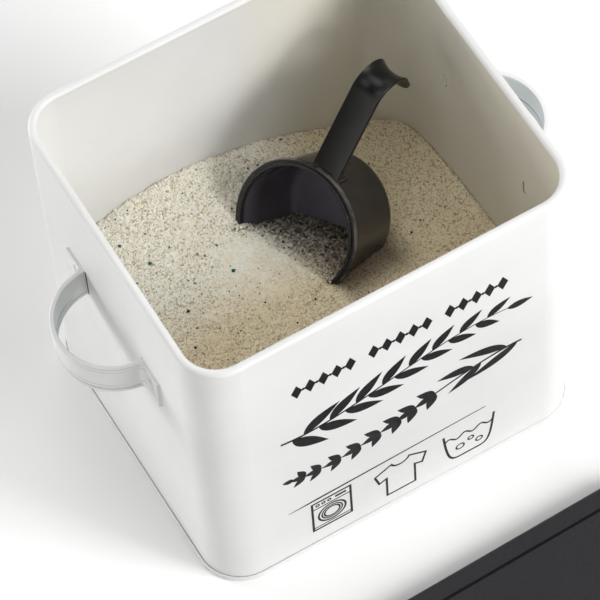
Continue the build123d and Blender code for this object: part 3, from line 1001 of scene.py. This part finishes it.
def rim_crumbs(settings):
    """Two small heaps of crumbs where the mouth's rim enters the powder."""
    rng = np.random.default_rng(31)
    places = []
    for x, y, spread in rim_crumb_places:
        places.append(np.array((x, y)) * MM + rng.normal(0, spread * MM, (rim_crumb_count, 2)))
    x, y = np.concatenate(places).T
    sizes = grain_sizes(rng, len(x), 1.25 * settings.grain, 0.3, 1.8)
    z = surface_height(x, y, settings) + sizes * rng.uniform(0.1, 0.9, len(x))
    centres = np.stack((x, y, z), -1)
    keep = outside_cup(centres, crumb_clearance)
    return crumbs_piece("rim_crumbs", centres, sizes, keep, rng, 0.4)


def tinted_grains(name, table, settings, seed):
    """The coloured grains of one table, each half sunk in the powder."""
    x, y, sizes = (table * MM).T
    sizes = 1.35 * sizes
    centres = np.stack((x, y, surface_height(x, y, settings) + 0.35 * sizes), -1)
    return grain_piece(name, centres, sizes, np.random.default_rng(seed), 0.9)


# Print: places on the front wall are x and z in millimetres, and so are widths

def on_front(flat, depth):
    """Points of x and z in millimetres, carried onto the front wall at a depth out from it."""
    flat = np.asarray(flat, float) * MM
    return np.stack((flat[:, 0], np.full(len(flat), shell_low.y - depth), flat[:, 1]), -1)


def ring_faces(rings, corners, closed):
    """Triangles between neighbouring rings of points, with both four-cornered ends capped if open."""
    index = np.arange(rings * corners).reshape(rings, corners)
    here, there = (index, np.roll(index, -1, 0)) if closed else (index[:-1], index[1:])
    next_here, next_there = np.roll(here, -1, 1), np.roll(there, -1, 1)
    halves = ((here, there, next_there), (here, next_there, next_here))
    sides = np.concatenate([np.stack(half, -1).reshape(-1, 3) for half in halves])
    if closed:
        return sides
    first, last = index[0], index[-1]
    caps = (first[[0, 1, 2]], first[[0, 2, 3]], last[[0, 2, 1]], last[[0, 3, 2]])
    return np.concatenate((sides, caps))


def stroke(path, widths, thickness, closed=False):
    """A stroke of ink along a line: its edges lie half a width to each side of it.

    At a corner the edges lie along the sum a + b of the unit steps before and after it,
    turned by a right angle, and the half width grows by 2 / |a + b| as in a mitre.
    """
    path = np.asarray(path, float)
    steps = np.roll(path, -1, 0) - path if closed else np.diff(path, axis=0)
    steps /= np.linalg.norm(steps, axis=1, keepdims=True)
    before = np.roll(steps, 1, 0) if closed else np.concatenate((steps[:1], steps))
    after = steps if closed else np.concatenate((steps, steps[-1:]))
    both = before + after
    size = np.linalg.norm(both, axis=1, keepdims=True)
    sideways = np.stack((-both[:, 1], both[:, 0]), -1) / size
    reach = (np.zeros(len(path)) + widths)[:, None] / 2 * np.minimum(2 / size, 2.2)
    left, right = path + reach * sideways, path - reach * sideways
    ring = np.stack((on_front(left, thickness), on_front(right, thickness),
                     on_front(right, -ink_sunk), on_front(left, -ink_sunk)), 1)
    return ring.reshape(-1, 3), ring_faces(len(path), 4, closed)


def spot(outline, thickness):
    """A solid spot of ink: a fan over its outline, the same fan behind, and its edge."""
    outline = np.asarray(outline, float)
    flat = np.concatenate((outline, outline.mean(0, keepdims=True)))
    points = np.concatenate((on_front(flat, thickness), on_front(flat, -ink_sunk)))
    here = np.arange(len(outline))
    there = np.roll(here, -1)
    middle = np.full_like(here, len(outline))
    back = len(flat)
    fans = ((middle, here, there), (middle + back, there + back, here + back),
            (here, here + back, there + back), (here, there + back, there))
    return points, np.concatenate([np.stack(fan, -1) for fan in fans])


def round_outline(x, z, radius, count):
    """Points on a circle."""
    angle = np.linspace(0, 2 * math.pi, count, endpoint=False)
    return np.stack((x + radius * np.cos(angle), z + radius * np.sin(angle)), -1)


def hoop(x, z, radius, width, thickness, count):
    """A round line of ink."""
    return stroke(round_outline(x, z, radius, count), width, thickness, True)


def bezier(a, b, c, d, count):
    """A cubic curve (1-t)^3 a + 3 (1-t)^2 t b + 3 (1-t) t^2 c + t^3 d."""
    t = np.linspace(0, 1, count)[:, None]
    a, b, c, d = (np.asarray(point, float) for point in (a, b, c, d))
    return (1 - t) ** 3 * a + 3 * (1 - t) ** 2 * t * b + 3 * (1 - t) * t * t * c + t ** 3 * d


def leaf(root, way, size, width, bend, thickness):
    """A pointed leaf: half widths of width / 2 * sin(pi s^0.8) about a line that bends by bend * s^2."""
    share = np.linspace(0, 1, 14)[:, None]
    way = np.asarray(way) / np.hypot(*way)
    side = np.array((-way[1], way[0]))
    middle = np.asarray(root) + size * (share * way + bend * share ** 2 * side)
    half = width / 2 * np.sin(np.pi * share ** 0.8) * side
    return spot(np.concatenate((middle - half, (middle + half)[-2:0:-1])), thickness)


def side_leaf(stem, share, degrees, size, width, bend, thickness):
    """A leaf on a stem, at a share of its length and turned counter-clockwise from its direction."""
    at = int(share * (len(stem) - 2))
    way = stem[at + 1] - stem[at]
    c, s = math.cos(math.radians(degrees)), math.sin(math.radians(degrees))
    return leaf(stem[at], (c * way[0] - s * way[1], s * way[0] + c * way[1]), size, width, bend, thickness)


def leafy_sprig(stem, pairs, first, last, thickness):
    """A stem with leaves in turn on both sides; first and last give a leaf's length and width."""
    parts = [stroke(stem, np.linspace(1.5, 0.5, len(stem)), thickness)]
    for number in range(2 * pairs):
        share = (number + 1.0) / (2 * pairs + 1.0)
        size, width = (first[i] + (last[i] - first[i]) * share for i in (0, 1))
        side = 1 if number % 2 else -1
        layer = thickness * (1.2 + 0.2 * side)
        parts.append(side_leaf(stem, share, 44 * side, size, width, -0.16 * side, layer))
    return parts + [leaf(stem[-1], stem[-1] - stem[-2], *last, 0.05, thickness)]


def budding_sprig(stem, whorls, thickness):
    """A stem with four long leaves at its foot, then whorls of three buds up to its tip."""
    parts = [stroke(stem, np.linspace(1.5, 0.6, len(stem)), thickness)]
    for share, side, size in ((0.03, 1, 30.0), (0.07, -1, 28.0), (0.20, 1, 22.0), (0.24, -1, 20.0)):
        parts.append(side_leaf(stem, share, 36 * side, size, 6.0, -0.2 * side, thickness * (1.2 + share)))
    for number in range(whorls):
        share = 0.40 + 0.58 * number / (whorls - 1)
        size = 14.5 - 6.0 * share
        for layer, angle in enumerate((-50, 50, 0)):
            height = thickness * (1.2 + 0.2 * layer)
            parts.append(side_leaf(stem, share, angle, size, 0.45 * size, 0.0, height))
    return parts + [leaf(stem[-1], stem[-1] - stem[-2], 6.5, 3.6, 0.0, thickness)]


def lozenge_row(x, z, count, pitch, thickness):
    """Upright lozenges with round spots between them."""
    parts = []
    for middle in x + pitch * np.arange(count):
        corners = ((middle + 2.9, z), (middle, z + 5.6), (middle - 2.9, z), (middle, z - 5.6))
        parts += [spot(corners, thickness), spot(round_outline(middle + pitch / 2, z, 1.0, 14), thickness)]
    return parts[:-1]


def washer_sign(thickness):
    """A front-loading machine: case, two panel lines, a ringed door, three knobs and a drawer."""
    left, right, low, high = -50.0, -29.0, 15.0, 41.0
    case = ((left, low), (right, low), (right, high), (left, high))
    parts = [stroke(case, 1.25, thickness, True)]
    for height, width in ((17.2, 0.7), (35.2, 0.8)):
        parts.append(stroke(((left, height), (right, height)), width, thickness))
    for radius, width in ((7.4, 1.1), (5.6, 0.8), (4.2, 1.0)):
        parts.append(hoop((left + right) / 2, 26.2, radius, width, thickness, 36))
    for place in (-47.0, -43.8, -40.6):
        parts.append(hoop(place, 38.1, 0.9, 0.7, thickness, 14))
    return parts + [stroke(((-37.4, 38.1), (-31.4, 38.1)), 1.6, thickness)]


def shirt_sign(thickness):
    """A short-sleeved shirt drawn in one line, with a curved neck."""
    neck = bezier((-6.4, 39.4), (-5.0, 34.6), (2.0, 34.6), (3.4, 39.4), 12)
    rest = ((12.6, 34.6), (10.4, 26.6), (6.3, 28.4), (6.3, 11.6),
            (-9.3, 11.6), (-9.3, 28.4), (-13.4, 26.6), (-15.6, 34.6))
    return [stroke(np.concatenate((neck, rest)), 1.2, thickness, True)]


def tub_sign(thickness):
    """A round-bottomed tub with water waves, three to its width, and three bubbles."""
    left = bezier((22.4, 37.6), (24.4, 17.0), (25.4, 12.2), (31.0, 12.2), 16)
    right = bezier((42.0, 12.2), (47.6, 12.2), (48.6, 17.0), (50.6, 37.6), 16)
    x = np.linspace(23.2, 49.8, 60)
    water = np.stack((x, 31.6 + 1.5 * np.sin((x - x[0]) * 2 * math.pi / 8.86)), -1)
    parts = [stroke(np.concatenate((left, right)), 1.3, thickness), stroke(water, 1.1, thickness)]
    for place, height, radius in ((31.6, 21.4, 2.2), (37.6, 24.4, 1.5), (42.2, 19.4, 1.8)):
        parts.append(hoop(place, height, radius, 0.9, thickness, 22))
    return parts


def front_print(settings):
    """All the ink on the front wall in one mesh: lozenges, two sprigs, a rule and three signs."""
    thickness = settings.thickness
    parts = []
    for x in (-52.6, -12.4, 27.8):
        parts += lozenge_row(x, 151.5, 5, 7.0, thickness)
    upper = bezier((-63, 112), (-24, 104), (16, 134), (58, 127), 60)
    parts += leafy_sprig(upper, 8, (25.0, 7.6), (14.0, 5.2), thickness)
    parts += budding_sprig(bezier((66, 92), (28, 96), (-18, 62), (-58, 74), 60), 8, thickness)
    rule = np.linspace((-62.5, 44.2), (46.0, 47.0), 30)
    parts.append(stroke(rule, np.minimum(np.linspace(0.3, 9.0, 30), np.linspace(1.5, 0.6, 30)), thickness))
    for sign in (washer_sign, shirt_sign, tub_sign):
        parts += sign(thickness)
    return join("front_print", parts)


# Gaps

def box_plan(past_wall, count=9):
    """Points round the box's plan past its wall, counter-clockwise, each corner an arc of a circle."""
    radius = corner_radius + past_wall
    turn = np.radians(np.linspace(0, 90, count))
    corners = []
    for quarter, (sign_x, sign_y) in enumerate(((1, 1), (-1, 1), (-1, -1), (1, -1))):
        angle = turn + quarter * math.pi / 2
        corners.append(np.stack((sign_x * (box_width / 2 - corner_radius) + radius * np.cos(angle),
                                 sign_y * (box_depth / 2 - corner_radius) + radius * np.sin(angle)), -1))
    return np.concatenate(corners)


def band(past_wall, width, low, high):
    """A flat ring that follows the box's plan: its outer edge past the wall, and between two heights."""
    outer, inner = box_plan(past_wall), box_plan(past_wall - width)
    corners = ((outer, low), (outer, high), (inner, high), (inner, low))
    ring = np.stack([np.column_stack((plan, np.full(len(plan), z))) for plan, z in corners], 1)
    return ring.reshape(-1, 3), ring_faces(len(outer), 4, True)


def root_shadow(side, end):
    """A thin dark upright block in the angle between a handle's root and the wall: painted shadow."""
    x = side * (box_width / 2 + root_shadow_out)
    y = end * root_shadow_along
    levels = (handle_middle - strap_half_height, handle_middle + strap_half_height)
    points = [(x[i], y[j], z) for z in levels for i, j in ((0, 0), (1, 0), (1, 1), (0, 1))]
    faces = ring_faces(2, 4, False)
    return np.array(points), faces if side * end < 0 else faces[:, ::-1]


def join(name, parts):
    """One mesh from several pairs of points and triangles."""
    starts = np.cumsum([0] + [len(points) for points, _ in parts[:-1]])
    points = np.concatenate([points for points, _ in parts])
    faces = np.concatenate([faces + start for (_, faces), start in zip(parts, starts)])
    return mesh_piece(name, points, faces, smooth=False)


def seam_shadow_lines():
    """A painted shadow line on top of the base's folded seam, all round the box, darker at the left."""
    return join("seam_shadow_lines", [band(seam_reach, seam_line_width, *seam_levels)])


def handle_root_shadows():
    """Painted shadow lines in the four angles between the handles' roots and the walls."""
    return join("handle_root_shadows", [root_shadow(side, end) for side in (-1, 1) for end in (-1, 1)])


def lid_groove_shadow():
    """Painted shadow in the bottom of the groove round the lid's panel, turned and placed as the lid is."""
    low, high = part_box("lid")
    levels = (high.z - depth for depth in groove_depths)
    points, faces = band(groove_width / 2 - groove_inset, groove_width, *levels)
    c, s = math.cos(lid_turn), math.sin(lid_turn)
    turn = np.array(((c, s, 0), (-s, c, 0), (0, 0, 1)))
    return join("lid_groove_shadow", [(points @ turn + ((low.x + high.x) / 2, (low.y + high.y) / 2, 0), faces)])


# Stage

LAMP_DISTANCE = 2.4
LAMPS = (
    # name, azimuth from the front, elevation, size, watts
    ("key", 40.0, 35.0, 0.9, 42.5),
    ("high", 30.0, 42.0, 0.9, 5.4),
    ("front_hard", 12.0, 25.0, 0.4, 7.0),
    ("front_soft", 24.0, 30.0, 0.7, 3.8),
    ("back_low", -147.0, 8.0, 0.7, 24.0),
    ("back_left", -145.0, 22.0, 1.2, 11.5),
    ("left_low", -90.0, 10.0, 0.8, 5.5),
    ("back_right", 150.0, 24.0, 1.2, 11.0),
    ("back_top", 180.0, 65.0, 1.2, 7.5),
    ("top", 0.0, 89.0, 1.2, 5.5),
    ("left_high", -58.0, 52.0, 1.2, 5.2),
)


def view_way(azimuth, elevation):
    """Unit vector from a target back to a camera or a lamp, at two angles in degrees."""
    az, el = math.radians(azimuth), math.radians(elevation)
    return Vector((math.sin(az) * math.cos(el), -math.cos(az) * math.cos(el), math.sin(el)))


def add_lamp(name, azimuth, elevation, size, watts):
    """A square soft lamp that looks at the middle of the box."""
    light = bpy.data.lights.new(name, "AREA")
    light.shape = "SQUARE"
    light.size = size
    light.energy = watts
    lamp = bpy.data.objects.new(name, light)
    back = view_way(azimuth, elevation)
    lamp.location = Vector((0, 0, box_height / 2)) + LAMP_DISTANCE * back
    lamp.rotation_euler = back.to_track_quat("Z", "Y").to_euler()
    bpy.context.scene.collection.objects.link(lamp)


def add_camera(settings):
    """The camera at the photograph's viewing angle, turned by its roll about its own axis."""
    camera_data = bpy.data.cameras.new("camera")
    camera_data.sensor_width = 36.0
    camera_data.lens = settings.lens
    camera_data.clip_end = 20.0
    camera = bpy.data.objects.new("camera", camera_data)
    back = view_way(settings.azimuth, settings.elevation)
    roll = math.radians(settings.roll)
    level = (-back).cross(Vector(UP)).normalized()
    below = (-back).cross(level)
    right = math.cos(roll) * level - math.sin(roll) * below
    down = math.sin(roll) * level + math.cos(roll) * below
    turned = Matrix((right, -down, back)).transposed().to_4x4()
    camera.matrix_world = Matrix.Translation(Vector(settings.target) + settings.distance * back) @ turned
    bpy.context.scene.collection.objects.link(camera)
    bpy.context.scene.camera = camera


def add_world(strength):
    """An even white world."""
    world = bpy.data.worlds.new("studio")
    world.use_nodes = True
    background = world.node_tree.nodes["Background"]
    background.inputs["Color"].default_value = (1.0, 1.0, 1.0, 1.0)
    background.inputs["Strength"].default_value = strength
    bpy.context.scene.world = world


def add_floor(settings):
    """A large flat floor under the box."""
    corners = floor_reach * np.array(((-1, -1, 0), (1, -1, 0), (1, 1, 0), (-1, 1, 0)))
    floor = mesh_piece("floor", corners, np.array(((0, 1, 2, 3),)), smooth=False)
    floor_finish(settings).wear(floor)


# Operators

class OBJECT_OT_detergent_box_finishes(bpy.types.Operator):
    """Give the wall, base, handles, scoop and lid their finishes"""

    bl_idname = "object.detergent_box_finishes"
    bl_label = "Finish metal and plastic"

    def execute(self, context):
        settings = context.scene.detergent_box_finishes
        wall_enamel = enamel_finish(settings, "white_enamel", wall_bounce_and_shade)
        wall_enamel.wear(cad_nodes["body_shell"], cad_nodes["base_pan"])
        strap_enamel = enamel_finish(settings, "handle_enamel", strap_shade)
        strap_enamel.wear(cad_nodes["left_handle"], cad_nodes["right_handle"])
        scoop_finish(settings).wear(cad_nodes["scoop"])
        lid_finish(settings).wear(cad_nodes["lid"])
        return {"FINISHED"}


class OBJECT_OT_detergent_box_powder(bpy.types.Operator):
    """Heap the washing powder in the box and in the scoop"""

    bl_idname = "object.detergent_box_powder"
    bl_label = "Heap the powder"

    def execute(self, context):
        settings = context.scene.detergent_box_powder
        heap = powder_heap(settings)
        powder_finish(settings).wear(heap)
        fill = cup_fill(settings)
        powder_finish(settings, "powder_in_cup", True).wear(fill)
        crumbs = cup_crumbs(fill, settings)
        grain_finish(settings, "crumbs_in_cup", True).wear(crumbs)
        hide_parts("detergent_powder")
        for piece in (heap, fill, crumbs):
            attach(piece, BODY)
        return {"FINISHED"}


class OBJECT_OT_detergent_box_grains(bpy.types.Operator):
    """Scatter loose and coloured grains on the powder"""

    bl_idname = "object.detergent_box_grains"
    bl_label = "Scatter the grains"

    def execute(self, context):
        settings = context.scene.detergent_box_powder
        loose, crumbs = loose_grains(settings), rim_crumbs(settings)
        grain_finish(settings).wear(loose, crumbs)
        teal = tinted_grains("teal_grains", teal_grains, settings, 21)
        tinted_grain_finish("teal_grains", settings.teal).wear(teal)
        navy = tinted_grains("navy_grains", navy_grains, settings, 22)
        tinted_grain_finish("navy_grains", settings.navy).wear(navy)
        for piece in (loose, crumbs, teal, navy):
            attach(piece, BODY)
        return {"FINISHED"}


class OBJECT_OT_detergent_box_print(bpy.types.Operator):
    """Print the front wall with sprigs, lozenges and laundry signs"""

    bl_idname = "object.detergent_box_print"
    bl_label = "Print the front"

    def execute(self, context):
        settings = context.scene.detergent_box_print
        ink = front_print(settings)
        ink_finish(settings).wear(ink)
        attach(ink, BODY)
        return {"FINISHED"}


class OBJECT_OT_detergent_box_gaps(bpy.types.Operator):
    """Draw the painted shadow lines on the seam, at the handle roots and in the lid's groove"""

    bl_idname = "object.detergent_box_gaps"
    bl_label = "Draw the gaps"

    def execute(self, context):
        settings = context.scene.detergent_box_finishes
        dark = shadow_line_finish("painted_gap_shadows", settings.gap, settings.gap)
        pale = shadow_line_finish("seam_shadow_line", settings.seam, settings.seam_shade_right)
        for piece, slot, finish in ((seam_shadow_lines(), "white_enamel", pale),
                                    (handle_root_shadows(), "white_enamel", dark),
                                    (lid_groove_shadow(), "lid_enamel", dark)):
            finish.wear(piece)
            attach(piece, BODY)
        return {"FINISHED"}


class OBJECT_OT_detergent_box_stage(bpy.types.Operator):
    """Set the camera, the floor, the lamps and the world"""

    bl_idname = "object.detergent_box_stage"
    bl_label = "Set the stage"

    def execute(self, context):
        settings = context.scene.detergent_box_stage
        add_floor(settings)
        for lamp in LAMPS:
            add_lamp(*lamp)
        add_world(settings.world)
        add_camera(settings)
        context.scene.view_settings.view_transform = "Standard"
        return {"FINISHED"}


OPERATORS = (
    OBJECT_OT_detergent_box_finishes,
    OBJECT_OT_detergent_box_powder,
    OBJECT_OT_detergent_box_grains,
    OBJECT_OT_detergent_box_print,
    OBJECT_OT_detergent_box_gaps,
    OBJECT_OT_detergent_box_stage,
)


class VIEW3D_PT_detergent_box(bpy.types.Panel):
    """Sizes, colours and steps of the detergent box"""

    bl_label = "Detergent box"
    bl_space_type = "VIEW_3D"
    bl_region_type = "UI"
    bl_category = "Detergent box"

    def draw(self, context):
        for group in GROUPS:
            settings = getattr(context.scene, SCENE_NAMES[group])
            box = self.layout.box()
            for name in group.__annotations__:
                box.prop(settings, name)
        for operator in OPERATORS:
            self.layout.operator(operator.bl_idname)


SCENE_NAMES = {
    DetergentBoxFinishes: "detergent_box_finishes",
    DetergentBoxPowder: "detergent_box_powder",
    DetergentBoxPrint: "detergent_box_print",
    DetergentBoxStage: "detergent_box_stage",
}


def register():
    for group in GROUPS:
        bpy.utils.register_class(group)
        setattr(bpy.types.Scene, SCENE_NAMES[group], PointerProperty(type=group))
    for made in (*OPERATORS, VIEW3D_PT_detergent_box):
        bpy.utils.register_class(made)


def unregister():
    for made in (VIEW3D_PT_detergent_box, *reversed(OPERATORS)):
        bpy.utils.unregister_class(made)
    for group in reversed(GROUPS):
        delattr(bpy.types.Scene, SCENE_NAMES[group])
        bpy.utils.unregister_class(group)


def main():
    register()
    bpy.ops.object.detergent_box_finishes()
    bpy.ops.object.detergent_box_powder()
    bpy.ops.object.detergent_box_grains()
    bpy.ops.object.detergent_box_print()
    bpy.ops.object.detergent_box_gaps()
    bpy.ops.object.detergent_box_stage()


if __name__ == "__main__":
    main()
